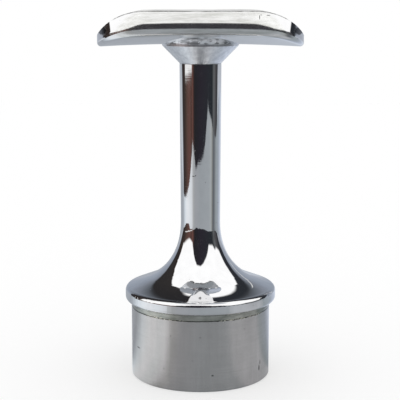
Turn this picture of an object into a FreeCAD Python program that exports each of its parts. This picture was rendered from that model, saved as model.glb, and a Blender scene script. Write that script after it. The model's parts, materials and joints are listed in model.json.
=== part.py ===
import FreeCAD, Part

import math
import os

# Handrail bracket for the top of a round post, in millimetres, +Z up.
#
# A turned-looking casting carries everything: its spigot slips inside the post tube, its
# flange rests on the tube's end, and a flared stem rises from the flange.  A second casting,
# the saddle, stands on the stem with a conical neck and cradles the rail in a trough.  One
# countersunk socket screw goes down through the saddle's seat into the stem's top.
#
# The origin is on the axis, in the plane of the flange's underside, which is the plane of the
# post tube's end.  The rail runs along X.

Vector = FreeCAD.Vector

# ---- driving dimensions ------------------------------------------------------------------

# the post tube that the bracket closes
post_outer_diameter = 50.8
post_wall = 1.5
spigot_clearance = 0.5

# spigot, hollow from below
spigot_length = 25.7
spigot_wall = 3.0
spigot_edge_break = 0.4
core_corner_radius = 4.0
core_shoulder_height = 1.2
core_crown_radius = 7.0
core_crown_height = 5.0

# flange
rim_lower_radius = 1.4
rim_upper_radius = 1.7
rim_height = 4.84
shoulder_angle = 22.0
shoulder_inner_radius = 17.3

# flare and stem
flare_height = 19.2
flare_foot_pull = 4.45
flare_neck_pull = 11.9
stem_foot_diameter = 13.2
stem_top_diameter = 13.86
stem_height = 79.8
stem_edge_break = 0.2

# saddle: the neck
neck_angle = 44.5
neck_cone_height = 5.8
neck_rim_lift = 0.5
neck_collar_height = 0.6
neck_blend_radius = 2.2
neck_blend_angle = 73.0

# saddle: the plate
rail_diameter = 42.4
seat_clearance = 0.0
plate_length = 67.8
seat_edge_width = 33.4
seat_floor = 3.05
edge_lean = 31.0
belly_radius = 52.0
belly_drop = 0.95
plate_side_rounding = 2.8
plate_tip_rounding = 1.2
plate_upper_edge = 0.4

# the two holes for the rail's screws
rail_hole_diameter = 5.2
rail_hole_spacing = 52.0
rail_hole_break = 0.3

# the countersunk socket screw, M8
screw_diameter = 8.0
screw_length = 25.0
screw_head_diameter = 16.0
screw_head_land = 0.4
screw_socket_width = 5.0
screw_socket_depth = 3.2
screw_point_break = 0.8
screw_hole_clearance = 0.25
screw_pocket_clearance = 0.3
screw_head_depth = 0.6
screw_bore_spare = 3.0
drill_point_angle = 118.0

# how far a cutting or trimming shape runs past the material, and what counts as one size
cutting_spare = 2.0
same_size = 0.001

# ---- places worked out from them ---------------------------------------------------------

flange_radius = post_outer_diameter / 2
spigot_radius = flange_radius - post_wall - spigot_clearance
core_radius = spigot_radius - spigot_wall
stem_foot_radius = stem_foot_diameter / 2
stem_top_radius = stem_top_diameter / 2

neck_rim_radius = stem_top_radius + neck_cone_height * math.tan(math.radians(neck_angle))
belly_height = stem_height + neck_cone_height + neck_rim_lift
seat_height = belly_height + seat_floor
seat_radius = rail_diameter / 2 + seat_clearance
rail_axis_height = seat_height + seat_radius
seat_edge_height = rail_axis_height - math.sqrt(seat_radius ** 2 - (seat_edge_width / 2) ** 2)

screw_top = seat_height - screw_head_depth
screw_cone_height = (screw_head_diameter - screw_diameter) / 2
screw_bore_end = screw_top - screw_length - screw_bore_spare


# ---- helpers -----------------------------------------------------------------------------

def at(radius, height):
    """A point of a section that is turned about Z."""
    return Vector(radius, 0, height)


def line(start, end):
    return Part.makeLine(start, end)


def arc(centre, radius, start_angle, end_angle):
    """A circular arc in the XZ plane; the angles are in degrees from +X towards +Z."""
    spots = []
    for angle in (start_angle, (start_angle + end_angle) / 2, end_angle):
        turn = math.radians(angle)
        spots.append(centre + Vector(radius * math.cos(turn), 0, radius * math.sin(turn)))
    return Part.Arc(*spots).toShape()


def turned(edges):
    """The solid that a closed section in the XZ plane makes when it is turned about Z."""
    face = Part.Face(Part.Wire(Part.__sortEdges__(edges)))
    return face.revolve(Vector(0, 0, 0), Vector(0, 0, 1), 360)


def rod(radius, bottom, top, x=0.0):
    return Part.makeCylinder(radius, top - bottom, Vector(x, 0, bottom))


def lying_cylinder(radius, half_length, height):
    """A cylinder along X whose axis is at the given height."""
    return Part.makeCylinder(radius, 2 * half_length, Vector(-half_length, 0, height), Vector(1, 0, 0))


# ---- the post casting: spigot, flange, flare and stem --------------------------------------

def flange_rim():
    """The flange's edge, from the underside up to the sloping shoulder."""
    lower_centre = at(flange_radius - rim_lower_radius, rim_lower_radius)
    upper_lift = rim_upper_radius * math.cos(math.radians(shoulder_angle))
    upper_centre = at(flange_radius - rim_upper_radius, rim_height - upper_lift)
    lower = arc(lower_centre, rim_lower_radius, -90, 0)
    upper = arc(upper_centre, rim_upper_radius, 0, 90 - shoulder_angle)
    land = line(lower.Vertexes[-1].Point, upper.Vertexes[0].Point)
    return [lower, land, upper]


def flare_curve(foot, crown):
    """The trumpet curve, tangent to the shoulder at its foot and to the stem at its crown."""
    slope = math.radians(shoulder_angle)
    lean = (stem_top_radius - stem_foot_radius) / (stem_height - crown.z)
    foot_handle = foot + Vector(-math.cos(slope), 0, math.sin(slope)) * flare_foot_pull
    crown_handle = crown - Vector(lean, 0, 1) * flare_neck_pull
    curve = Part.BezierCurve()
    curve.setPoles([foot, foot_handle, crown_handle, crown])
    return curve.toShape()


def post_casting_body():
    rim = flange_rim()
    rim_top = rim[-1].Vertexes[-1].Point
    rise = (rim_top.x - shoulder_inner_radius) * math.tan(math.radians(shoulder_angle))
    flare_foot = at(shoulder_inner_radius, rim_top.z + rise)
    flare_crown = at(stem_foot_radius, flare_foot.z + flare_height)
    edges = [
        line(at(0, -spigot_length), at(spigot_radius - spigot_edge_break, -spigot_length)),
        line(
            at(spigot_radius - spigot_edge_break, -spigot_length),
            at(spigot_radius, -spigot_length + spigot_edge_break),
        ),
        line(at(spigot_radius, -spigot_length + spigot_edge_break), at(spigot_radius, 0)),
        line(at(spigot_radius, 0), at(flange_radius - rim_lower_radius, 0)),
        *rim,
        line(rim_top, flare_foot),
        flare_curve(flare_foot, flare_crown),
        line(flare_crown, at(stem_top_radius, stem_height - stem_edge_break)),
        line(
            at(stem_top_radius, stem_height - stem_edge_break),
            at(stem_top_radius - stem_edge_break, stem_height),
        ),
        line(at(stem_top_radius - stem_edge_break, stem_height), at(0, stem_height)),
        line(at(0, stem_height), at(0, -spigot_length)),
    ]
    return turned(edges)


def spigot_core():
    """The cored hollow inside the spigot, which rises a little under the flange."""
    corner_centre = at(core_radius - core_corner_radius, core_shoulder_height - core_corner_radius)
    corner = arc(corner_centre, core_corner_radius, 0, 90)
    shoulder = at(corner_centre.x, core_shoulder_height)
    crown = at(core_crown_radius, core_crown_height)
    edges = [
        line(at(0, -spigot_length), at(core_radius, -spigot_length)),
        line(at(core_radius, -spigot_length), at(core_radius, corner_centre.z)),
        corner,
        line(shoulder, crown),
        line(crown, at(0, core_crown_height)),
        line(at(0, core_crown_height), at(0, -spigot_length)),
    ]
    return turned(edges)


def screw_bore():
    """The tapped bore in the stem's top, with the point that the drill leaves."""
    radius = screw_diameter / 2
    point = radius / math.tan(math.radians(drill_point_angle / 2))
    drill_point = Part.makeCone(0, radius, point, Vector(0, 0, screw_bore_end - point))
    return rod(radius, screw_bore_end, stem_height).fuse(drill_point)


def make_post_casting():
    return post_casting_body().cut(spigot_core()).cut(screw_bore())


# ---- the saddle: neck and rail plate -------------------------------------------------------

def round_end(side, middle, radius):
    """The two quarter circles of one end of the outline, which meet at the plate's tip."""
    quarters = []
    for start in (-90, 0):
        spots = []
        for angle in (start, start + 45, start + 90):
            turn = math.radians(angle)
            spots.append(Vector(middle + radius * math.cos(turn), radius * math.sin(turn), 0) * side)
        quarters.append(Part.Arc(*spots).toShape())
    return quarters


def plate_outline(height):
    """The plate's outline at a height: straight sides and round ends, wider lower down."""
    end_radius = seat_edge_width / 2
    straight = plate_length / 2 - end_radius
    near_left = Vector(-straight, -end_radius, 0)
    near_right = Vector(straight, -end_radius, 0)
    far_left = Vector(-straight, end_radius, 0)
    far_right = Vector(straight, end_radius, 0)
    outline = Part.Wire([
        line(near_left, near_right),
        *round_end(1, straight, end_radius),
        line(far_right, far_left),
        *round_end(-1, straight, end_radius),
    ])
    half_width = end_radius + (seat_edge_height - height) * math.tan(math.radians(edge_lean))
    widening = FreeCAD.Matrix()
    widening.scale(1, half_width / end_radius, 1)
    widening.move(0, 0, height)
    return outline.transformGeometry(widening).Wires[0]


def plate_prism():
    """A block with the plate's outline, whose long sides lean outwards going down."""
    lowest = plate_outline(belly_height - belly_drop - cutting_spare)
    highest = plate_outline(seat_edge_height + cutting_spare)
    return Part.makeLoft([lowest, highest], True, True)


def plate_belly():
    """A waisted barrel along X, whose lowest line is the plate's underside.

    The line is a shallow curve that drops towards both tips.
    """
    half_length = plate_length / 2 + cutting_spare
    drop = belly_drop * (half_length / (plate_length / 2)) ** 2
    axis_height = belly_height + belly_radius
    left = Vector(-half_length, 0, belly_height - drop)
    right = Vector(half_length, 0, belly_height - drop)
    keel = Part.BezierCurve()
    keel.setPoles([left, Vector(0, 0, belly_height + drop), right])
    edges = [
        keel.toShape(),
        line(right, Vector(half_length, 0, axis_height)),
        line(Vector(half_length, 0, axis_height), Vector(-half_length, 0, axis_height)),
        line(Vector(-half_length, 0, axis_height), left),
    ]
    face = Part.Face(Part.Wire(Part.__sortEdges__(edges)))
    face.rotate(Vector(0, 0, axis_height), Vector(1, 0, 0), 180)
    return face.revolve(Vector(0, 0, axis_height), Vector(1, 0, 0), 360)


def saddle_neck():
    """The conical neck, whose short collar spreads in a hollow curve into the plate."""
    neck_top = seat_height + seat_floor
    rim = at(neck_rim_radius, stem_height + neck_cone_height)
    blend_foot = rim + Vector(0, 0, neck_collar_height)
    blend = arc(blend_foot + Vector(neck_blend_radius, 0, 0), neck_blend_radius, 180, 180 - neck_blend_angle)
    blend_end = blend.Vertexes[-1].Point
    edges = [
        line(at(0, stem_height), at(stem_top_radius, stem_height)),
        line(at(stem_top_radius, stem_height), rim),
        line(rim, blend_foot),
        blend,
        line(blend_end, at(blend_end.x, neck_top)),
        line(at(blend_end.x, neck_top), at(0, neck_top)),
        line(at(0, neck_top), at(0, stem_height)),
    ]
    return turned(edges)


def screw_pocket():
    """The countersunk hole down the neck, open to the seat above the screw's head."""
    head_radius = screw_head_diameter / 2
    hole_radius = screw_diameter / 2 + screw_hole_clearance
    pocket_radius = head_radius + screw_pocket_clearance
    land_bottom = screw_top - screw_head_land
    cone_bottom = land_bottom - (head_radius - hole_radius)
    cone = Part.makeCone(hole_radius, head_radius, head_radius - hole_radius, Vector(0, 0, cone_bottom))
    hole = rod(hole_radius, stem_height, land_bottom)
    pocket = rod(pocket_radius, land_bottom, rail_axis_height)
    return hole.fuse([cone, pocket])


def shared_edges(solid, first_kind, second_kind):
    """The edges where a face of one kind meets a face of another kind."""
    found = []
    for face in solid.Faces:
        if not first_kind(face):
            continue
        for other in solid.Faces:
            if not second_kind(other):
                continue
            for edge in face.Edges:
                if any(edge.isSame(shared) for shared in other.Edges):
                    found.append(edge)
    return found


def is_cylinder(face, radius):
    return isinstance(face.Surface, Part.Cylinder) and abs(face.Surface.Radius - radius) < same_size


def is_seat(face):
    return is_cylinder(face, seat_radius)


def is_belly(face):
    return isinstance(face.Surface, Part.SurfaceOfRevolution)


def is_side(face):
    return not is_seat(face) and not is_belly(face)


def lower_rounding(vertex):
    """The lower outline's rounding at one of its corners: tight at the plate's tips, wide elsewhere."""
    at_tip = abs(abs(vertex.Point.x) - plate_length / 2) < same_size
    return plate_tip_rounding if at_tip else plate_side_rounding


def round_lower_outline(plate):
    """Rounds the lower outline with a radius that runs evenly from each corner to the next."""
    outline = shared_edges(plate, is_belly, is_side)
    document = FreeCAD.newDocument()
    base = document.addObject("Part::Feature", "base")
    base.Shape = plate
    rounding = document.addObject("Part::Fillet", "rounding")
    rounding.Base = base
    chosen = []
    for number, edge in enumerate(plate.Edges, start=1):
        if any(edge.isSame(known) for known in outline):
            first, last = edge.Vertexes
            chosen.append((number, lower_rounding(first), lower_rounding(last)))
    rounding.Edges = chosen
    document.recompute()
    rounded = rounding.Shape.copy()
    FreeCAD.closeDocument(document.Name)
    return rounded


def rail_plate():
    """The trough-shaped plate, rounded along its lower outline and broken along its upper one."""
    seat = lying_cylinder(seat_radius, plate_length, rail_axis_height)
    plate = plate_belly().common(plate_prism()).cut(seat).Solids[0]
    plate = round_lower_outline(plate)
    return plate.makeChamfer(plate_upper_edge, shared_edges(plate, is_seat, is_side))


def rail_hole(side):
    """The drill that makes one of the two holes for the rail's screws."""
    x = side * rail_hole_spacing / 2
    return rod(rail_hole_diameter / 2, stem_height, rail_axis_height, x)


def make_saddle():
    seat = lying_cylinder(seat_radius, plate_length, rail_axis_height)
    saddle = rail_plate().fuse(saddle_neck().cut(seat)).removeSplitter()
    for tool in [screw_pocket(), rail_hole(-1), rail_hole(1)]:
        saddle = saddle.cut(tool)
    hole_edges = []
    for face in saddle.Faces:
        if is_cylinder(face, rail_hole_diameter / 2):
            hole_edges += [edge for edge in face.Edges if not edge.isSeam(face)]
    return saddle.makeChamfer(rail_hole_break, hole_edges).Solids[0]


def make_saddle_screw():
    """A countersunk screw with a hexagon socket; its thread is left plain."""
    head_radius = screw_head_diameter / 2
    radius = screw_diameter / 2
    tip = screw_top - screw_length
    land_bottom = screw_top - screw_head_land
    neck = land_bottom - screw_cone_height
    edges = [
        line(at(0, tip), at(radius - screw_point_break, tip)),
        line(at(radius - screw_point_break, tip), at(radius, tip + screw_point_break)),
        line(at(radius, tip + screw_point_break), at(radius, neck)),
        line(at(radius, neck), at(head_radius, land_bottom)),
        line(at(head_radius, land_bottom), at(head_radius, screw_top)),
        line(at(head_radius, screw_top), at(0, screw_top)),
        line(at(0, screw_top), at(0, tip)),
    ]
    across_corners = screw_socket_width / math.cos(math.radians(30))
    corners = []
    for step in range(7):
        turn = math.radians(60 * step)
        spot = Vector(math.cos(turn), math.sin(turn), 0) * (across_corners / 2)
        corners.append(spot + Vector(0, 0, screw_top))
    hexagon = Part.Face(Part.makePolygon(corners))
    socket = hexagon.extrude(Vector(0, 0, -screw_socket_depth))
    return turned(edges).cut(socket)


# ---- write one STEP file for each piece ----------------------------------------------------

parts = {
    "post_casting": make_post_casting(),
    "rail_saddle": make_saddle(),
    "saddle_screw": make_saddle_screw(),
}

os.makedirs("parts", exist_ok=True)
for name, shape in parts.items():
    shape.exportStep(os.path.join("parts", name + ".step"))
    print(name, "valid", shape.isValid(), "solids", len(shape.Solids), "volume", round(shape.Volume, 1))
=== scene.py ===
"""Finishes, thread and stage for the post-top handrail bracket, laid out as a Blender add-on.

The construction comes packed and stays as it is.  This file dresses it: polished and brushed
steel, a real thread on the hidden screw, and a plain studio round the part.  Meshes are in
metres and finishes count in millimetres, with +Z up the stem, X along the rail, and the origin
on the axis in the plane of the flange's underside.  The camera looks along +Y.
"""

import json
import math

import bpy
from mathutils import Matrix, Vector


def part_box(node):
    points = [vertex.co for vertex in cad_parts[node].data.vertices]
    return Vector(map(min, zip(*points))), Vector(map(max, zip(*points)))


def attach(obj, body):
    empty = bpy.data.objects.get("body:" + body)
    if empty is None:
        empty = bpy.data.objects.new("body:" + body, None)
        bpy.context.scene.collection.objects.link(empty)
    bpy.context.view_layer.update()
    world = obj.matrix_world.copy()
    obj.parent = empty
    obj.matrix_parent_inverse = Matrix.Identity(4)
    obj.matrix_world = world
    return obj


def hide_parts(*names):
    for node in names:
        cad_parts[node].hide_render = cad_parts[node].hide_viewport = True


bl_info = {
    "name": "Handrail bracket finishes",
    "version": (1, 0, 0),
    "blender": (4, 5, 0),
    "location": "View3D > Sidebar > Bracket",
    "description": "Dresses the packed handrail bracket in polished and brushed steel",
    "category": "Object",
}

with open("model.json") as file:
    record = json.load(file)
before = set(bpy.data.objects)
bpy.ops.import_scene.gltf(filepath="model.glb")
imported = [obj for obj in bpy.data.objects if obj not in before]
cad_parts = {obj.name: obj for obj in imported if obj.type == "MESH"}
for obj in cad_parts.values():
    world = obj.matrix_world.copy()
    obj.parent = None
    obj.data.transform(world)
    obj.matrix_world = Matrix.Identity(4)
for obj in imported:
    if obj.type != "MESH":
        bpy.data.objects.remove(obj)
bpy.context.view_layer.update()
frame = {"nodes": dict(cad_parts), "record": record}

MM = 0.001                    # metres in a millimetre
DEGREES = 180.0 / math.pi     # degrees in a radian

POST_LOW, POST_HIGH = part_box("post_casting")
_, SADDLE_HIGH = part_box("rail_saddle")
SCREW_LOW, SCREW_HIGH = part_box("saddle_screw")
MOUNTS = {mount["name"]: mount for mount in frame["record"]["mounts"]}

# Places that the finishes start from, in millimetres.
SPIGOT_RADIUS = MOUNTS["post_spigot"]["dims"]["r_mm"]
RIM_RADIUS = POST_HIGH.x / MM
STEM_RADIUS = 6.7             # of the stem low down, above the flare
NECK_RADIUS = 12.6            # of the neck's rim
PLATE_END = SADDLE_HIGH.x / MM
SEAT_EDGE = 16.7              # from the middle of the seat to its arris, across the rail
SEAT_FLOOR = MOUNTS["rail_seat"]["pos_m"][2] / MM
SEAT_RADIUS = MOUNTS["rail_seat"]["dims"]["r_mm"]
SEAT_AXIS = SEAT_FLOOR + SEAT_RADIUS


# ---- shader maths ------------------------------------------------------------------------

class Value:
    """A number that varies over a surface: an expression on it adds the Math nodes."""

    def __init__(self, tree, socket):
        self.tree = tree
        self.socket = socket

    def _math(self, operation, first, second):
        node = self.tree.nodes.new("ShaderNodeMath")
        node.operation = operation
        for socket, value in zip(node.inputs, (first, second)):
            if isinstance(value, Value):
                self.tree.links.new(value.socket, socket)
            else:
                socket.default_value = value
        return Value(self.tree, node.outputs[0])

    def __add__(self, other):
        return self._math("ADD", self, other)

    def __radd__(self, other):
        return self._math("ADD", other, self)

    def __sub__(self, other):
        return self._math("SUBTRACT", self, other)

    def __rsub__(self, other):
        return self._math("SUBTRACT", other, self)

    def __mul__(self, other):
        return self._math("MULTIPLY", self, other)

    def __rmul__(self, other):
        return self._math("MULTIPLY", other, self)

    def __truediv__(self, other):
        return self._math("DIVIDE", self, other)

    def __rtruediv__(self, other):
        return self._math("DIVIDE", other, self)

    def __gt__(self, other):
        return self._math("GREATER_THAN", self, other)

    def at_least(self, other):
        return self._math("MAXIMUM", self, other)

    def at_most(self, other):
        return self._math("MINIMUM", self, other)

    def size(self):
        """The number without its sign."""
        return self.at_least(0.0 - self)

    def root(self):
        return self._math("SQRT", self, 0.0)

    def whole(self):
        """The next whole number down."""
        return self._math("FLOOR", self, 0.0)

    def turn_from(self, other):
        """The angle whose sine is to its cosine as this number to the other, in radians."""
        return self._math("ARCTAN2", self, other)

    def arc_sine(self):
        return self._math("ARCSINE", self, 0.0)


def distance(x, y):
    """How far a point of a plane lies from its origin."""
    return (x * x + y * y).root()


def bearing(x, y):
    """Degrees round the bracket from the camera's side, positive to the right."""
    return x.turn_from(0.0 - y) * DEGREES


def rgba(colour):
    """The colour, opaque."""
    return (*colour, 1.0)


def grey(level):
    return (level, level, level)


class Nodes:
    """Adds nodes to one tree."""

    def __init__(self, tree):
        self.tree = tree

    def node(self, kind, settings=None, inputs=None, output=0):
        """A node of that type: its settings first, then its sockets' values or links.

        It gives the value of the named output, a list for a tuple of names, or nothing for None.
        """
        made = self.tree.nodes.new(kind)
        for name, value in (settings or {}).items():
            if name == "stops":
                self._set_stops(made.color_ramp, value)
            else:
                setattr(made, name, value)
        for name, value in (inputs or {}).items():
            if isinstance(value, Value):
                self.tree.links.new(value.socket, made.inputs[name])
            else:
                made.inputs[name].default_value = value
        if output is None:
            return None
        if isinstance(output, tuple):
            return [Value(self.tree, made.outputs[name]) for name in output]
        return Value(self.tree, made.outputs[output])

    @staticmethod
    def _set_stops(ramp, stops):
        for spare in list(ramp.elements)[1:]:
            ramp.elements.remove(spare)
        (place, colour), *others = stops
        ramp.elements[0].position = place
        ramp.elements[0].color = rgba(colour)
        for place, colour in others:
            ramp.elements.new(place).color = rgba(colour)

    def parts(self, vector):
        """The three numbers of a vector or a colour."""
        return self.node("ShaderNodeSeparateXYZ", {}, {0: vector}, output=("X", "Y", "Z"))

    def joined(self, x, y, z):
        """The vector with these three numbers."""
        return self.node("ShaderNodeCombineXYZ", {}, {"X": x, "Y": y, "Z": z})


class Shading(Nodes):
    """Adds nodes to the emptied tree of one material or world."""

    def __init__(self, owner):
        owner.use_nodes = True
        super().__init__(owner.node_tree)
        self.owner = owner
        self.tree.nodes.clear()

    def step(self, value, low, high):
        """0 below low and 1 above high, with a soft rise between; swapped ends make it fall."""
        return self.node(
            "ShaderNodeMapRange",
            {"interpolation_type": "SMOOTHSTEP"},
            {"Value": value, "From Min": low, "From Max": high, "To Min": 0.0, "To Max": 1.0},
        )

    def window(self, value, start, full, last, end):
        """Rises from start to full, stays at 1, and falls from last to end."""
        return self.step(value, start, full) * self.step(value, end, last)

    def mix(self, factor, first, second):
        """The first colour at 0, the second at 1."""
        first, second = (c if isinstance(c, Value) else rgba(c) for c in (first, second))
        return self.node(
            "ShaderNodeMix", {"data_type": "RGBA"}, {0: factor, 6: first, 7: second}, output=2
        )

    def ramp(self, value, low, high, rows):
        """The colour at this value, blended between rows of a place and a colour."""
        stops = [((place - low) / (high - low), colour) for place, colour in rows]
        return self.node(
            "ShaderNodeValToRGB", {"stops": stops}, {"Fac": (value - low) / (high - low)}
        )


# ---- settings ----------------------------------------------------------------------------

class BracketFinish(bpy.types.PropertyGroup):
    steel: bpy.props.FloatVectorProperty(
        name="Steel colour",
        description="Base colour of the polished stainless steel",
        subtype="COLOR",
        size=3,
        min=0.0,
        max=1.0,
        default=(0.82, 0.82, 0.825),
    )
    polish: bpy.props.FloatProperty(
        name="Polish roughness",
        description="Roughness of the mirror-polished surfaces",
        subtype="FACTOR",
        min=0.0,
        max=1.0,
        default=0.03,
    )
    brushed: bpy.props.FloatProperty(
        name="Brushed roughness",
        description="Roughness of the turned and brushed spigot",
        subtype="FACTOR",
        min=0.0,
        max=1.0,
        default=0.2,
    )
    ring_height: bpy.props.FloatProperty(
        name="Ring under the flange",
        description="Height of the dull ring at the top of the spigot",
        unit="LENGTH",
        min=0.0,
        default=0.0021,
    )


class BracketScrew(bpy.types.PropertyGroup):
    thread_radius: bpy.props.FloatProperty(
        name="Thread radius",
        description="From the screw's axis to the thread's crests",
        unit="LENGTH",
        default=0.00398,
    )
    thread_depth: bpy.props.FloatProperty(
        name="Thread depth",
        description="From crest to root",
        unit="LENGTH",
        default=0.00068,
    )
    thread_pitch: bpy.props.FloatProperty(
        name="Thread pitch",
        description="How far one turn climbs",
        unit="LENGTH",
        default=0.00125,
    )
    thread_gap: bpy.props.FloatProperty(
        name="Plain neck",
        description="Plain length between the thread and the head's cone",
        unit="LENGTH",
        default=0.0012,
    )
    point_break: bpy.props.FloatProperty(
        name="Point chamfer",
        description="Chamfer at the screw's point",
        unit="LENGTH",
        default=0.0008,
    )
    head_radius: bpy.props.FloatProperty(
        name="Head radius",
        description="Radius of the countersunk head",
        unit="LENGTH",
        default=0.008,
    )
    head_land: bpy.props.FloatProperty(
        name="Head land",
        description="Height of the head's straight edge",
        unit="LENGTH",
        default=0.0004,
    )
    edge_break: bpy.props.FloatProperty(
        name="Edge break",
        description="Bevel on the head's edge and round its socket",
        unit="LENGTH",
        default=0.00015,
    )
    socket_width: bpy.props.FloatProperty(
        name="Socket width",
        description="Across the flats of the hexagon socket",
        unit="LENGTH",
        default=0.005,
    )
    socket_depth: bpy.props.FloatProperty(
        name="Socket depth",
        description="Depth of the hexagon socket",
        unit="LENGTH",
        default=0.0032,
    )


class BracketStage(bpy.types.PropertyGroup):
    camera_distance: bpy.props.FloatProperty(
        name="Camera distance",
        description="From the bracket's axis to the camera, along the floor",
        unit="LENGTH",
        default=0.3948,
    )
    camera_side: bpy.props.FloatProperty(
        name="Camera side",
        description="How far the camera stands to the right of the bracket's axis",
        unit="LENGTH",
        default=-0.00015,
    )
    camera_height: bpy.props.FloatProperty(
        name="Camera height",
        description="Above the flange's underside",
        unit="LENGTH",
        default=0.1027,
    )
    camera_pitch: bpy.props.FloatProperty(
        name="Camera pitch",
        description="How far the camera looks down",
        subtype="ANGLE",
        default=math.radians(9.89),
    )
    camera_lens: bpy.props.FloatProperty(
        name="Focal length",
        description="For a sensor 36 mm wide, in millimetres",
        default=107.2,
    )
    ceiling: bpy.props.FloatProperty(
        name="Light tent",
        description="Strength of the white light tent that the metal reflects",
        min=0.0,
        default=1.22,
    )
    shadow: bpy.props.FloatProperty(
        name="Shadow",
        description="How much of the bracket's soft shadow the table keeps",
        subtype="FACTOR",
        min=0.0,
        max=1.0,
        default=0.6,
    )


# ---- finishes ----------------------------------------------------------------------------

# The grains that the finishes are made of: steps to the millimetre along X, Y and Z, then how
# many finer layers each has and how strong they are.
GRAINS = {
    # of the polish
    "wheel rings": ((0.12, 0.12, 3.2), 3.0, 0.6),
    "waves": ((0.22, 0.22, 0.16), 1.0, 0.5),
    "hairlines": ((0.6, 0.6, 14.0), 2.0, 0.7),
    "haze": ((0.35, 0.35, 0.2), 4.0, 0.65),
    "scrapes": ((0.5, 0.5, 2.2), 5.0, 0.8),
    # of the ring under the flange and of the spigot
    "ragged border": ((0.8, 0.8, 0.4), 5.0, 0.75),
    "smears": ((0.22, 0.22, 0.9), 4.0, 0.6),
    "burrs": ((1.3, 1.3, 1.9), 4.0, 0.75),
    "turning": ((0.05, 0.05, 5.5), 4.0, 0.7),
    "brushed bands": ((0.28, 0.28, 0.02), 4.0, 0.7),
    "brushed lines": ((2.6, 2.6, 0.05), 2.0, 0.6),
    "clouds": ((0.16, 0.16, 0.2), 4.0, 0.6),
    "scuffs": ((0.55, 0.55, 0.14), 5.0, 0.75),
    "casting": ((1.6, 1.6, 1.6), 5.0, 0.7),
    # of the saddle
    "lengthwise": ((0.09, 2.2, 2.2), 4.0, 0.7),
    "streaks": ((0.10, 0.7, 0.7), 5.0, 0.7),
    "mottle": ((0.5, 0.5, 0.5), 4.0, 0.65),
    "neck lines": ((0.9, 0.9, 0.12), 3.0, 0.6),
    "pits": ((0.42, 0.42, 0.9), 4.0, 0.7),
    "seat lines": ((0.035, 3.2, 3.2), 4.0, 0.7),
    "wear": ((0.35, 1.2, 1.2), 5.0, 0.8),
    # of the screw; its head's rings count along the radius, the turn and the height
    "head rings": ((5.0, 0.6, 0.3), 3.0, 0.5),
    "oil film": ((0.9, 0.9, 0.9), 4.0, 0.6),
}

# Sparse spots: cells to the millimetre, the share of cells left bare, and a spot's size in cells.
NICKS = (0.55, 0.93, 0.11)
DOTS = (0.42, 0.90, 0.09)

# Marks from handling.  Each row has a place, a height, and half a width and half a length in
# millimetres.  The place is in degrees round the bracket, or in millimetres along the rail.
SPIGOT_MARKS = (
    (56.5, -20.6, 0.45, 1.1), (58.0, -18.9, 0.25, 0.9), (9.7, -20.1, 0.45, 0.3),
    (-62.0, -14.2, 1.3, 0.22),
)
STEM_MARKS = ((-20.5, 42.9, 0.55, 0.16), (-14.0, 43.1, 0.25, 0.2), (62.0, 33.5, 0.3, 0.12))
SIDE_MARKS = (
    (18.5, 95.0, 0.16, 0.8), (21.3, 95.6, 0.7, 0.13), (19.0, 95.7, 0.35, 0.12),
    (-26.0, 94.1, 0.9, 0.1),
)

# The flange's shoulder was ground a little hollow.  Each row has the radius from which it bends
# and how quickly: the height in millimetres is that number times the square of the way past it.
SHOULDER_BENDS = ((12.3, -0.026), (17.0, 0.0532), (24.0, 0.14))

# Colours of the steel where it isn't polished, two where the colour drifts between them.
# The ring under the flange: a real polish overspill, its dark colour partly painted shade under the
# flange.
RING_COLOURS = ((0.30, 0.305, 0.27), (0.50, 0.50, 0.45))
# painted shade: a dark line along the ring's border, standing in for a groove's shade
RING_GROOVE_SHADE = (0.04, 0.04, 0.035)
# burrs at the ring's border, painted bright as glints: painted highlight
RING_BURR_GLINTS = (1.0, 0.95, 0.78)
BRUSHED_COLOURS = ((0.13, 0.125, 0.12), (0.95, 0.915, 0.885))
CAST_COLOURS = ((0.17, 0.17, 0.17), (0.42, 0.42, 0.41))
SIDE_COLOURS = ((0.60, 0.60, 0.575), (0.83, 0.83, 0.82))
NECK_COLOURS = ((0.72, 0.73, 0.75), (0.95, 0.955, 0.97))
SEAT_COLOURS = ((0.46, 0.46, 0.46), (0.74, 0.74, 0.73))
SCREW_COLOURS = ((0.62, 0.62, 0.63), (0.42, 0.42, 0.41))
# painted reflection: dark spots round the neck's rim
NECK_RIM_PAINTED_REFLECTION = (0.06, 0.06, 0.065)
SIDE_NICKS = (0.03, 0.03, 0.03)
# painted shade low on each tip
TIP_PAINTED_SHADE = (0.03, 0.03, 0.035)
# painted reflection: dark along the arris round the seat
ARRIS_PAINTED_REFLECTION = (0.10, 0.10, 0.09)
# painted shade in the screw's socket; the thread's roots are darkened with it too
SCREW_HOLLOWS = (0.07, 0.07, 0.07)


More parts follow.
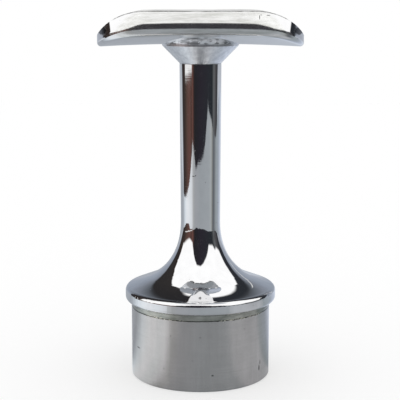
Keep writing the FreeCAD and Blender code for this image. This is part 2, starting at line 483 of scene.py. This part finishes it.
class Steel(Shading):
    """A steel material that reads its place on the bracket in millimetres."""

    def __init__(self, name, finish):
        super().__init__(bpy.data.materials.new(name))
        self.finish = finish
        here = self.node("ShaderNodeTexCoord", output="Object")
        self.place = self.scaled(here, (1.0 / MM, 1.0 / MM, 1.0 / MM))
        self.x, self.y, self.z = self.parts(self.place)
        self.radius = distance(self.x, self.y)
        self.bearing = bearing(self.x, self.y)

    def scaled(self, vector, factors):
        return self.node("ShaderNodeVectorMath", {"operation": "MULTIPLY"}, {0: vector, 1: factors})

    def grain(self, name, place=None):
        """One of the grains, about 0 to 1."""
        factors, detail, roughness = GRAINS[name]
        return self.node(
            "ShaderNodeTexNoise",
            {},
            {
                "Vector": self.scaled(place or self.place, factors),
                "Scale": 1.0,
                "Detail": detail,
                "Roughness": roughness,
            },
        )

    def spots(self, cells, bare, size):
        """1 inside sparse round spots."""
        middle, colour = self.node(
            "ShaderNodeTexVoronoi",
            {},
            {"Vector": self.scaled(self.place, (cells, cells, cells)), "Scale": 1.0},
            output=("Distance", "Color"),
        )
        chosen, _, _ = self.parts(colour)
        return self.step(middle, size, size * 0.6) * (chosen > bare)

    def mark(self, across, along):
        """1 inside a small rounded mark; both numbers are 1 at its edge."""
        return self.step(across * across + along * along, 1.0, 0.45)

    def marks(self, place, unit, rows):
        """1 inside any of the rows' marks; unit is how many millimetres 1 of the place measures."""
        total = None
        for spot, height, half_width, half_length in rows:
            across = (place - spot) * (unit / half_width)
            mark = self.mark(across, (self.z - height) / half_length)
            total = mark if total is None else total.at_least(mark)
        return total

    def bumps(self, *layers):
        """The normal over layers of a height and how many millimetres 1 of it measures."""
        normal = None
        for height, depth in layers:
            inputs = {"Height": height, "Distance": depth * MM, "Strength": 1.0}
            if normal is not None:
                inputs["Normal"] = normal
            normal = self.node("ShaderNodeBump", {}, inputs)
        return normal

    def tint(self, level):
        """The polished steel's colour at this level."""
        return tuple(level * part for part in self.finish.steel)

    def mirror(self, satin=None, hollow=None):
        """Mirror polish: its colour, roughness and normal.

        Faint rings from the wheel, hairlines, a few nicks and a haze that drifts.  Satin is
        roughness to add, and hollow a height in millimetres.
        """
        nicks = self.spots(*NICKS)
        haze = self.grain("haze")
        rough = self.finish.polish + self.step(haze, 0.52, 0.78) * 0.05
        rough = rough + self.step(self.grain("hairlines"), 0.62, 0.74) * 0.05 + nicks * 0.3
        if satin is not None:
            rough = rough + satin
        colour = self.mix(self.step(haze, 0.35, 0.7), self.tint(1.0), self.tint(0.95))
        colour = self.mix(nicks * 0.7, colour, self.tint(0.25))
        layers = [(self.grain("wheel rings"), 0.0011), (self.grain("waves"), 0.008), (nicks, -0.02)]
        if hollow is not None:
            layers.insert(0, (hollow, 1.0))
        return colour, rough, self.bumps(*layers)

    def metal(self, colour, roughness, normal, fixed=None):
        """The steel's shader; fixed holds more sockets, which are the same all over."""
        sockets = {"Base Color": colour, "Metallic": 1.0, "Roughness": roughness, "Normal": normal}
        return self.node("ShaderNodeBsdfPrincipled", {}, {**sockets, **(fixed or {})})

    def over(self, mask, base, layer):
        """The layer's shader where the mask is 1, the base's elsewhere."""
        return self.node("ShaderNodeMixShader", {}, {0: mask, 1: base, 2: layer})

    def finished(self, shader):
        """The material, closed with this shader."""
        self.node("ShaderNodeOutputMaterial", {}, {"Surface": shader}, output=None)
        return self.owner


def only_material(obj, material):
    obj.data.materials.clear()
    obj.data.materials.append(material)


def polished_flange(steel):
    """Mirror polish with a few marks on the stem and dark, rubbed scrapes on the rim, front right.
    """
    hollow = None
    for radius, bend in SHOULDER_BENDS:
        past = (steel.radius - radius).at_least(0.0)
        layer = past * past * bend
        hollow = layer if hollow is None else hollow + layer
    colour, rough, normal = steel.mirror(hollow=hollow)
    on_stem = steel.step(steel.radius, STEM_RADIUS + 1.3, STEM_RADIUS + 0.7)
    marks = steel.marks(steel.bearing, STEM_RADIUS / DEGREES, STEM_MARKS) * on_stem
    on_rim = steel.step(steel.radius, RIM_RADIUS - 1.9, RIM_RADIUS - 0.8)
    scraped = steel.step(steel.grain("scrapes"), 0.60, 0.68)
    dark_streaks = scraped * steel.window(steel.bearing, 36.0, 44.0, 74.0, 82.0) * on_rim
    colour = steel.mix(marks.at_least(dark_streaks * 0.75), colour, steel.tint(0.16))
    return steel.metal(colour, rough + marks * 0.3 + dark_streaks * 0.3, normal), normal


def ring_with_painted_shade(steel, border, normal):
    """The ring that the polish only just reached, its dark colour partly painted shade under the
    flange; at its border a painted dark line for a groove's shade, and each burr painted bright as
    a glint.
    """
    # dark olive: a real polish overspill, partly painted shade under the flange
    colour = steel.mix(steel.step(steel.grain("smears"), 0.3, 0.7), *RING_COLOURS)
    # painted shade of a groove, as a dark line along the ring's lower border
    groove = steel.step((border - 0.16).size(), 0.30, 0.08)
    left = steel.window(steel.bearing, -52.0, -46.0, -14.0, -8.0)
    right = steel.window(steel.bearing, 14.0, 20.0, 56.0, 62.0)
    # each burr painted bright as a glint, a painted highlight
    burrs = steel.step(steel.grain("burrs"), 0.50, 0.60) * (left + right)
    burrs = burrs * steel.step((border - 0.15).size(), 0.45, 0.1)
    colour = steel.mix(groove * 0.95, colour, RING_GROOVE_SHADE)
    colour = steel.mix(burrs, colour, RING_BURR_GLINTS)
    return steel.metal(colour, 0.16 + burrs * 0.3, normal)


def brushed_spigot(steel, ragged):
    """Turned rings, brushing along the spigot in broad bands, scuffs and a few dots."""
    turning = steel.grain("turning")
    lines = steel.grain("brushed lines")
    clouds = steel.grain("clouds")
    scuffs = steel.step(steel.grain("scuffs"), 0.66, 0.74)
    marks = steel.marks(steel.bearing, SPIGOT_RADIUS / DEGREES, SPIGOT_MARKS)
    dots = steel.spots(*DOTS).at_least(marks * (0.5 + ragged))
    level = 0.60 + (turning - 0.5) * 0.30 + (steel.grain("brushed bands") - 0.5) * 0.22
    level = level + (lines - 0.5) * 0.10 + (clouds - 0.5) * 0.20 - scuffs * 0.16 - dots * 0.6
    rough = steel.finish.brushed + (clouds - 0.5) * 0.10 + (turning - 0.5) * 0.06 + scuffs * 0.12
    normal = steel.bumps((turning, 0.006), (lines, 0.003), (dots, -0.03))
    along_axis = {"Anisotropic": 0.9, "Anisotropic Rotation": 0.25}
    return steel.metal(steel.mix(level, *BRUSHED_COLOURS), rough, normal, along_axis)


def cast_hollow(steel):
    """The inside of the spigot, left as it came from the mould."""
    grain = steel.grain("casting")
    rough = 0.5 + (grain - 0.5) * 0.3
    return steel.metal(steel.mix(grain, *CAST_COLOURS), rough, steel.bumps((grain, 0.12)))


def post_steel(finish):
    """Mirror polish above, a dull ring under the flange whose dark colour is partly painted shade,
    a brushed spigot and a cast hollow.
    """
    steel = Steel("polished_post", finish)
    ragged = steel.grain("ragged border")
    border = steel.z + finish.ring_height / MM + (ragged - 0.5) * 0.7
    by_spigot = steel.step(steel.radius, SPIGOT_RADIUS + 0.6, SPIGOT_RADIUS + 0.3)
    under_flange = steel.step(steel.z, 0.02, -0.03) * by_spigot
    below_ring = steel.step(border, 0.12, -0.12)
    in_hollow = steel.step(steel.radius, SPIGOT_RADIUS - 2.0, SPIGOT_RADIUS - 2.2)
    inside = in_hollow * steel.step(steel.z, 0.2, -0.2)
    polished, normal = polished_flange(steel)
    shader = steel.over(under_flange, polished, ring_with_painted_shade(steel, border, normal))
    shader = steel.over(below_ring, shader, brushed_spigot(steel, ragged))
    return steel.finished(steel.over(inside, shader, cast_hollow(steel)))


def saddle_steel(finish):
    """Mirror polish below, satin sides, neck and seat, and round the seat a dark arris that is a
    painted reflection, darker in streaks.
    """
    steel = Steel("satin_saddle", finish)
    from_seat = distance(steel.y, steel.z - SEAT_AXIS) - SEAT_RADIUS
    across = steel.y.size() - SEAT_EDGE
    to_end = PLATE_END - steel.x.size()
    height = steel.z - SEAT_FLOOR
    side = steel.step(across, -0.2, 0.9) * steel.step(height, -2.65, -1.15)
    neck = steel.step(steel.radius, NECK_RADIUS + 2.4, NECK_RADIUS + 0.2)
    neck = neck * steel.step(height, 0.25, -0.95)
    tips = steel.step(to_end, 4.9, 2.9) * steel.step(height, -0.55, 0.45)
    mottle = steel.grain("mottle")
    streaks = steel.grain("streaks")
    satin = side * (0.10 + steel.grain("lengthwise") * 0.10) + neck * (0.26 + mottle * 0.06)
    colour, rough, normal = steel.mirror(satin=satin + tips * 0.22)

    # the sides, streaked along the rail, and the neck, with a painted reflection of the fillet
    # under the plate as dark spots round its rim
    sides = steel.mix(steel.step(streaks, 0.3, 0.7), *SIDE_COLOURS)
    colour = steel.mix(side, colour, sides)
    lines = steel.step(mottle * 0.5 + steel.grain("neck lines") * 0.5, 0.35, 0.65)
    colour = steel.mix(neck, colour, steel.mix(lines, *NECK_COLOURS))
    on_neck = steel.window(steel.radius, 6.0, 7.0, NECK_RADIUS - 0.1, NECK_RADIUS + 0.9)
    on_rim = on_neck * steel.window(height, -3.05, -2.55, -0.35, 0.15)
    # painted reflection of the fillet under the plate, as dark spots round the neck's rim
    pits = steel.step(steel.grain("pits"), 0.46, 0.52) * on_rim
    colour = steel.mix(pits * 0.8, colour, NECK_RIM_PAINTED_REFLECTION)

    # nicks in the near side, and painted shade of a dip, low on each tip
    near = steel.step(steel.y, 0.7 - SEAT_EDGE, 0.2 - SEAT_EDGE)
    colour = steel.mix(steel.marks(steel.x, 1.0, SIDE_MARKS) * near * 0.85, colour, SIDE_NICKS)
    ripple = (mottle - 0.5) * 1.5
    painted_tip_shade = steel.mark((to_end - 2.3) / 1.9, (height - 1.45 - ripple) / 1.5)
    colour = steel.mix(painted_tip_shade * 0.92, colour, TIP_PAINTED_SHADE)

    # the seat, drawn lengthwise to a satin
    seat = steel.step(from_seat.size(), 0.25, 0.08) * steel.step(across, 0.5, 0.1)
    lines = steel.grain("seat lines")
    seat_colour = steel.mix(steel.step(lines * 0.6 + streaks * 0.4, 0.32, 0.68), *SEAT_COLOURS)
    colour = steel.mix(seat, colour, seat_colour)
    rough = rough + seat * (0.16 + lines * 0.12)

    # the arris round the seat: a painted dark reflection, darker in streaks and lighter between
    # them
    arris = steel.window(from_seat, 0.02, 0.08, 0.5, 0.75) * steel.step(across, -2.7, -1.7)
    dark_streaks = steel.step(steel.grain("wear"), 0.40, 0.55)
    colour = steel.mix(arris * (0.35 + dark_streaks * 0.6), colour, ARRIS_PAINTED_REFLECTION)
    return steel.finished(steel.metal(colour, rough + arris * 0.25, normal))


def screw_steel(finish, screw):
    """Satin steel with turned rings on the head, painted shade in the socket, and darker in the
    thread's roots.
    """
    steel = Steel("satin_screw", finish)
    down = SCREW_HIGH.z / MM - steel.z
    flats = screw.socket_width / 2 / MM
    crests = screw.thread_radius / MM
    neck = (screw.head_land + screw.head_radius - screw.thread_radius) / MM
    rings = steel.grain("head rings", steel.joined(steel.radius, steel.bearing / DEGREES, steel.z))
    film = steel.grain("oil film")
    socket = steel.step(steel.radius, flats + 0.45, flats + 0.2) * steel.step(down, 0.05, 0.4)
    roots = steel.step(steel.radius, crests - 0.03, crests - 0.58)
    roots = roots * steel.step(down, neck - 0.37, neck + 0.63)
    colour = steel.mix(steel.step(film, 0.4, 0.75), *SCREW_COLOURS)
    # painted shade in the socket, and the thread's roots darker
    colour = steel.mix(socket.at_least(roots) * 0.8, colour, SCREW_HOLLOWS)
    rough = 0.24 + (rings - 0.5) * 0.2 + (film - 0.5) * 0.2 + socket * 0.2
    return steel.finished(steel.metal(colour, rough, steel.bumps((rings, 0.006))))


# ---- the screw ---------------------------------------------------------------------------

AROUND = 48          # points round each ring; a multiple of 12 keeps the socket's corners
ROWS_A_TURN = 8      # rings to one turn of the thread
SHARP = math.radians(28.0)
THREAD_INPUTS = ("Pitch", "Depth", "Low", "High")


def round_ring(radius, height):
    angles = [math.tau * k / AROUND for k in range(AROUND)]
    return [(radius * math.cos(angle), radius * math.sin(angle), height) for angle in angles]


def hexagon_ring(flats, height):
    """The points of a hexagon, as many as a round ring has, with two flats facing along X."""
    ring = []
    for k in range(AROUND):
        angle = math.tau * k / AROUND
        off_flat = (angle + math.pi / 6) % (math.pi / 3) - math.pi / 6
        reach = flats / 2 / math.cos(off_flat)
        ring.append((reach * math.cos(angle), reach * math.sin(angle), height))
    return ring


def screw_rings(screw):
    """The screw's rings from its point up, over the head and down into the socket.

    After them come the heights between which the thread is cut.
    """
    tip, top = SCREW_LOW.z, SCREW_HIGH.z
    radius, head, bevel = screw.thread_radius, screw.head_radius, screw.edge_break
    neck = top - screw.head_land - (head - radius)
    low, high = tip + screw.point_break, neck - screw.thread_gap
    rows = round((high - low) / screw.thread_pitch * ROWS_A_TURN)
    rings = [
        round_ring(radius - screw.point_break, tip),
        *(round_ring(radius, low + (high - low) * row / rows) for row in range(rows + 1)),
        round_ring(radius, neck),
        round_ring(head, top - screw.head_land),
        round_ring(head, top - bevel),
        round_ring(head - bevel, top),
        hexagon_ring(screw.socket_width + 2 * bevel, top),
        hexagon_ring(screw.socket_width, top - bevel),
        hexagon_ring(screw.socket_width, top - screw.socket_depth),
    ]
    return rings, low, high


def ring_mesh(name, rings):
    """A closed skin over the rings, with a face at each end."""
    points = [point for ring in rings for point in ring]
    faces = [list(reversed(range(AROUND)))]
    for row in range(len(rings) - 1):
        here, there = row * AROUND, (row + 1) * AROUND
        for k in range(AROUND):
            after = (k + 1) % AROUND
            faces.append((here + k, here + after, there + after, there + k))
    faces.append([(len(rings) - 1) * AROUND + k for k in range(AROUND)])
    mesh = bpy.data.meshes.new(name)
    mesh.from_pydata(points, [], faces)
    return mesh


def thread_tree(material):
    """Presses a helical thread into a round skin, fading out over one turn at each end."""
    tree = bpy.data.node_groups.new("cut_thread", "GeometryNodeTree")
    tree.interface.new_socket("Geometry", in_out="INPUT", socket_type="NodeSocketGeometry")
    for name in THREAD_INPUTS:
        tree.interface.new_socket(name, in_out="INPUT", socket_type="NodeSocketFloat")
    tree.interface.new_socket("Geometry", in_out="OUTPUT", socket_type="NodeSocketGeometry")
    cutting = Nodes(tree)
    skin, pitch, depth, low, high = cutting.node(
        "NodeGroupInput", output=("Geometry", *THREAD_INPUTS)
    )
    x, y, z = cutting.parts(cutting.node("GeometryNodeInputPosition"))
    climb = z / pitch - y.turn_from(x) / math.tau
    groove = (climb - climb.whole() - 0.5).size() * 2.0
    fade_in = ((z - low) / pitch).at_least(0.0).at_most(1.0)
    fade_out = ((high - z) / pitch).at_least(0.0).at_most(1.0)
    narrower = groove * (fade_in * fade_out) * depth / distance(x, y)
    offset = cutting.joined(0.0 - x * narrower, 0.0 - y * narrower, 0.0)
    threaded = (z > low) * (high > z)
    cut = cutting.node(
        "GeometryNodeSetPosition", {}, {"Geometry": skin, "Selection": threaded, "Offset": offset}
    )
    solid = cutting.node("GeometryNodeRealizeInstances", {}, {"Geometry": cut})
    dressed = cutting.node(
        "GeometryNodeSetMaterial", {}, {"Geometry": solid, "Material": material}
    )
    cutting.node("NodeGroupOutput", {}, {"Geometry": dressed}, output=None)
    return tree


def cut_thread(piece, material, values):
    """Runs the thread's tree on the piece and keeps its result as the piece's own mesh."""
    modifier = piece.modifiers.new("thread", "NODES")
    modifier.node_group = thread_tree(material)
    for item in modifier.node_group.interface.items_tree:
        if item.in_out == "INPUT" and item.name in values:
            modifier[item.identifier] = values[item.name]
    seen = piece.evaluated_get(bpy.context.evaluated_depsgraph_get())
    plain = bpy.data.meshes.new_from_object(seen)
    piece.modifiers.remove(modifier)
    piece.data = plain
    plain.name = piece.name


# ---- the studio --------------------------------------------------------------------------

# The metal mirrors a white light tent over a grey table, with dark curtains round it.  Bearings
# are in degrees from the camera's side, positive to the right; heights are in degrees above the
# level.  Each row has a bearing, and the lowest and the highest point of the curtains there.
CURTAIN_EDGES = (
    (-180, 39, 56), (-166, 38.5, 59.5), (-160, 38, 62.5), (-154, 37, 64.5), (-142, 25, 66.5),
    (-135, 12, 66.5), (-125, -3, 60), (-119, -7, 50), (-115, -9, 41), (-108, -20, 26),
    (-100, -20, 8), (-65, -20, 5), (-54, -20, 7), (-44, -20, 13), (-36, -20, 24), (-27, -20, 44),
    (-18, -20, 54), (0, -20, 57), (15, -20, 51), (25, -20, 41), (35, -20, 29), (45, -20, 15),
    (65, -20, 14), (75, -20, 19), (85, -20, 14), (100, -20, 15), (115, 4, 29), (127, 11, 36.5),
    (135, 24, 48.5), (146, 33, 51), (160, 39, 52), (180, 39, 55),
)
LOWER_BLUR, UPPER_BLUR = 4.0, 2.5
# How the curtains show in the steel: bearing, then red, green and blue in hundredths.
CURTAIN_TONES = (
    (-180, 15, 15, 16), (-125, 19, 18, 18), (-113, 18, 15, 14), (-104, 22, 19, 19),
    (-94, 24, 20, 18), (-84, 32, 25, 23), (-74, 36, 26, 24), (-60, 38, 27, 25), (-53, 27, 21, 19),
    (-46, 40, 27, 25), (-39, 25, 19, 18), (-33, 14, 14, 15), (0, 16, 15, 18), (50, 16, 17, 19),
    (66, 14, 16, 18), (72, 24, 25, 26), (80, 38, 39, 40), (88, 30, 30, 31), (97, 27, 27, 28),
    (107, 15, 16, 18), (120, 17, 18, 20), (180, 16, 17, 19),
)
# The pale backdrop that shows below the curtains: height, then its tone.
BACKDROP_TONES = (
    (-10, 77, 79, 82), (0, 63, 65, 69), (8, 59, 62, 67), (18, 55, 58, 63), (26, 48, 50, 54),
    (32, 38, 40, 43), (38, 26, 27, 29),
)
BACKDROP_SPAN = (-40.0, 40.0)
# Where a lens of light breaks in, from its first trace to its last: a long gap low on the left,
# and a slit far right that climbs with the bearing from its foot.
GAP_BEARINGS, GAP_HEIGHTS = (-97.0, -92.0, -52.0, -46.0), (-4.8, -4.4, -3.8, -3.2)
SLIT_BEARINGS, SLIT_WIDTH = (141.0, 143.0, 155.0, 157.0), (-1.7, -0.9, 0.9, 1.7)
SLIT_FOOT, SLIT_CLIMB, SLIT_LEVEL = (142.0, 12.0), 1.4, 0.85
# The table, as it shows in the steel: bearing, then its tone.  From -110 to -50 it is lighter, a
# painted sheen of a window on the table, and from 69 to 92 darker.
TABLE_TONES = (
    (-180, 62, 64, 67), (-135, 62, 64, 67), (-122, 60, 62, 65), (-110, 72, 75, 78),
    (-100, 83, 86, 89), (-88, 88, 90, 92), (-75, 88, 89, 91), (-62, 84, 86, 88),
    (-50, 81, 82, 84), (-44, 68, 69, 70), (-38, 62, 63, 64), (-30, 60, 61, 63), (0, 58, 60, 62),
    (50, 60, 62, 64), (62, 63, 65, 66), (69, 55, 56, 56), (76, 39, 40, 41), (84, 38, 40, 42),
    (92, 49, 51, 53), (101, 57, 60, 62), (122, 60, 63, 67), (137, 69, 72, 78),
    (155, 78, 81, 86), (180, 62, 64, 67),
)
# To the right, within this many metres of the axis, it is lighter.
NEAR_TONE, NEAR_BEARINGS, NEAR_REACH = (68, 69, 71), (36.0, 48.0, 92.0, 104.0), (0.2, 0.1)
# The table top's corners, in metres from the axis.
TABLE_CORNERS = (
    (0.90, 1.00), (-0.50, 1.00), (-0.33, 0.13), (-0.35, 0.00), (-0.36, -0.15), (-0.42, -0.42),
    (-0.32, -0.43), (-0.20, -0.40), (-0.11, -0.465), (0.24, -0.51), (0.36, -0.56),
    (0.60, -0.66), (0.68, -0.35), (0.63, 0.10), (0.85, 0.42),
)
ALL_ROUND = (-180.0, 180.0)
WHITE = grey(1.0)
SENSOR_WIDTH = 36.0      # millimetres
NEAREST_SEEN = 0.01      # metres from the camera


def reflected(tone, steel):
    """The scene's own numbers for a tone that the steel shows, once the steel has dimmed it.

    The curve is sRGB's, above its darkest tones.
    """
    return tuple(((t / 100.0 + 0.055) / 1.055) ** 2.4 / s for t, s in zip(tone, steel))


def reflected_rows(rows, steel):
    return [(place, reflected(tone, steel)) for place, *tone in rows]


def glossy_ray(shading):
    """1 for what the steel reflects, 0 for what the eye sees and what lights the room."""
    return shading.node("ShaderNodeLightPath", output="Is Glossy Ray")


def build_room(world, stage, steel):
    """White for the eye and the diffuse light; for the metal, the light tent and its curtains."""
    room = Shading(world)
    x, y, z = room.parts(room.node("ShaderNodeTexCoord", output="Generated"))
    around = bearing(x, y)
    height = z.arc_sine() * DEGREES
    # a ramp holds 0 to 1, so the edges' heights go through it as shares of the way from -90 to 90
    edges = [
        (place, (lowest / 180.0 + 0.5, highest / 180.0 + 0.5, 0.0))
        for place, lowest, highest in CURTAIN_EDGES
    ]
    low, high, _ = room.parts(room.ramp(around, *ALL_ROUND, edges))
    above_low = height - (low - 0.5) * 180.0
    above_high = height - (high - 0.5) * 180.0
    curtain = room.ramp(around, *ALL_ROUND, reflected_rows(CURTAIN_TONES, steel))
    backdrop = room.ramp(height, *BACKDROP_SPAN, reflected_rows(BACKDROP_TONES, steel))
    seen = room.mix(room.step(above_low, -LOWER_BLUR, LOWER_BLUR), backdrop, curtain)
    seen = room.mix(room.step(above_high, -UPPER_BLUR, UPPER_BLUR), seen, grey(stage.ceiling))
    gap = room.window(height, *GAP_HEIGHTS) * room.window(around, *GAP_BEARINGS)
    seen = room.mix(gap, seen, WHITE)
    foot, foot_height = SLIT_FOOT
    off_slit = height - (around - foot) * SLIT_CLIMB - foot_height
    slit = room.window(off_slit, *SLIT_WIDTH) * room.window(around, *SLIT_BEARINGS)
    seen = room.mix(slit, seen, grey(SLIT_LEVEL))
    colour = room.mix(glossy_ray(room), WHITE, seen)
    background = room.node("ShaderNodeBackground", {}, {"Color": colour, "Strength": 1.0})
    room.node("ShaderNodeOutputWorld", {}, {"Surface": background}, output=None)


def build_floor(stage, steel):
    """The table top: pale to the eye, and grey in the steel's reflections."""
    mesh = bpy.data.meshes.new("floor")
    corners = [(x, y, POST_LOW.z) for x, y in TABLE_CORNERS]
    mesh.from_pydata(corners, [], [list(range(len(corners)))])
    floor = bpy.data.objects.new("floor", mesh)
    bpy.context.scene.collection.objects.link(floor)
    top = Shading(bpy.data.materials.new("table_top"))
    x, y, _ = top.parts(top.node("ShaderNodeTexCoord", output="Object"))
    around = bearing(x, y)
    table = top.ramp(around, *ALL_ROUND, reflected_rows(TABLE_TONES, steel))
    near = top.step(distance(x, y), *NEAR_REACH) * top.window(around, *NEAR_BEARINGS)
    table = top.mix(near, table, reflected(NEAR_TONE, steel))
    colour = top.mix(glossy_ray(top), WHITE, table)
    shaded = top.node("ShaderNodeBsdfDiffuse", {}, {"Color": colour})
    lit = top.node("ShaderNodeEmission", {}, {"Color": colour})
    surface = top.node("ShaderNodeMixShader", {}, {0: stage.shadow, 1: lit, 2: shaded})
    top.node("ShaderNodeOutputMaterial", {}, {"Surface": surface}, output=None)
    only_material(floor, top.owner)


def place_camera(scene, stage):
    data = bpy.data.cameras.new("camera")
    data.lens = stage.camera_lens
    data.sensor_width = SENSOR_WIDTH
    data.clip_start = NEAREST_SEEN
    camera = bpy.data.objects.new("camera", data)
    scene.collection.objects.link(camera)
    camera.location = (stage.camera_side, -stage.camera_distance, stage.camera_height)
    camera.rotation_euler = (math.pi / 2 - stage.camera_pitch, 0.0, 0.0)
    scene.camera = camera


# ---- operators ---------------------------------------------------------------------------

class BRACKET_OT_finish_post(bpy.types.Operator):
    """Gives the post casting its polished stem and flange and its brushed spigot"""

    bl_idname = "bracket.finish_post"
    bl_label = "Finish the post casting"

    def execute(self, context):
        only_material(frame["nodes"]["post_casting"], post_steel(context.scene.bracket_finish))
        return {"FINISHED"}


class BRACKET_OT_finish_saddle(bpy.types.Operator):
    """Gives the rail saddle its polished underside, satin neck and seat, and worn edges"""

    bl_idname = "bracket.finish_saddle"
    bl_label = "Finish the rail saddle"

    def execute(self, context):
        only_material(frame["nodes"]["rail_saddle"], saddle_steel(context.scene.bracket_finish))
        return {"FINISHED"}


class BRACKET_OT_make_screw(bpy.types.Operator):
    """Makes the countersunk screw that holds the saddle down, with its thread and its socket"""

    bl_idname = "bracket.make_screw"
    bl_label = "Make the saddle screw"

    def execute(self, context):
        screw = context.scene.bracket_screw
        rings, low, high = screw_rings(screw)
        piece = bpy.data.objects.new("threaded_screw", ring_mesh("threaded_screw", rings))
        context.scene.collection.objects.link(piece)
        sizes = (screw.thread_pitch, screw.thread_depth, low, high)
        material = screw_steel(context.scene.bracket_finish, screw)
        cut_thread(piece, material, dict(zip(THREAD_INPUTS, sizes)))
        piece.data.shade_smooth()
        piece.data.set_sharp_from_angle(angle=SHARP)
        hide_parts("saddle_screw")
        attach(piece, "root")
        return {"FINISHED"}


class BRACKET_OT_set_stage(bpy.types.Operator):
    """Sets the floor, the studio's light and the camera"""

    bl_idname = "bracket.set_stage"
    bl_label = "Set the stage"

    def execute(self, context):
        scene = context.scene
        stage = scene.bracket_stage
        steel = tuple(scene.bracket_finish.steel)
        scene.world = bpy.data.worlds.new("studio")
        build_room(scene.world, stage, steel)
        build_floor(stage, steel)
        place_camera(scene, stage)
        scene.view_settings.view_transform = "Standard"
        return {"FINISHED"}


OPERATORS = (
    BRACKET_OT_finish_post, BRACKET_OT_finish_saddle, BRACKET_OT_make_screw, BRACKET_OT_set_stage,
)


class BRACKET_PT_panel(bpy.types.Panel):
    """Lists the bracket's settings and the operators that build it"""

    bl_idname = "BRACKET_PT_panel"
    bl_label = "Handrail bracket"
    bl_space_type = "VIEW_3D"
    bl_region_type = "UI"
    bl_category = "Bracket"

    def draw(self, context):
        scene = context.scene
        for settings in (scene.bracket_finish, scene.bracket_screw, scene.bracket_stage):
            box = self.layout.box()
            for name in settings.bl_rna.properties.keys():
                if name not in ("rna_type", "name"):
                    box.prop(settings, name)
        for operator in OPERATORS:
            self.layout.operator(operator.bl_idname)


CLASSES = (BracketFinish, BracketScrew, BracketStage, *OPERATORS, BRACKET_PT_panel)


def register():
    for cls in CLASSES:
        bpy.utils.register_class(cls)
    bpy.types.Scene.bracket_finish = bpy.props.PointerProperty(type=BracketFinish)
    bpy.types.Scene.bracket_screw = bpy.props.PointerProperty(type=BracketScrew)
    bpy.types.Scene.bracket_stage = bpy.props.PointerProperty(type=BracketStage)


def unregister():
    del bpy.types.Scene.bracket_stage
    del bpy.types.Scene.bracket_screw
    del bpy.types.Scene.bracket_finish
    for cls in reversed(CLASSES):
        bpy.utils.unregister_class(cls)


def main():
    register()
    bpy.ops.bracket.finish_post()
    bpy.ops.bracket.finish_saddle()
    bpy.ops.bracket.make_screw()
    bpy.ops.bracket.set_stage()


if __name__ == "__main__":
    main()
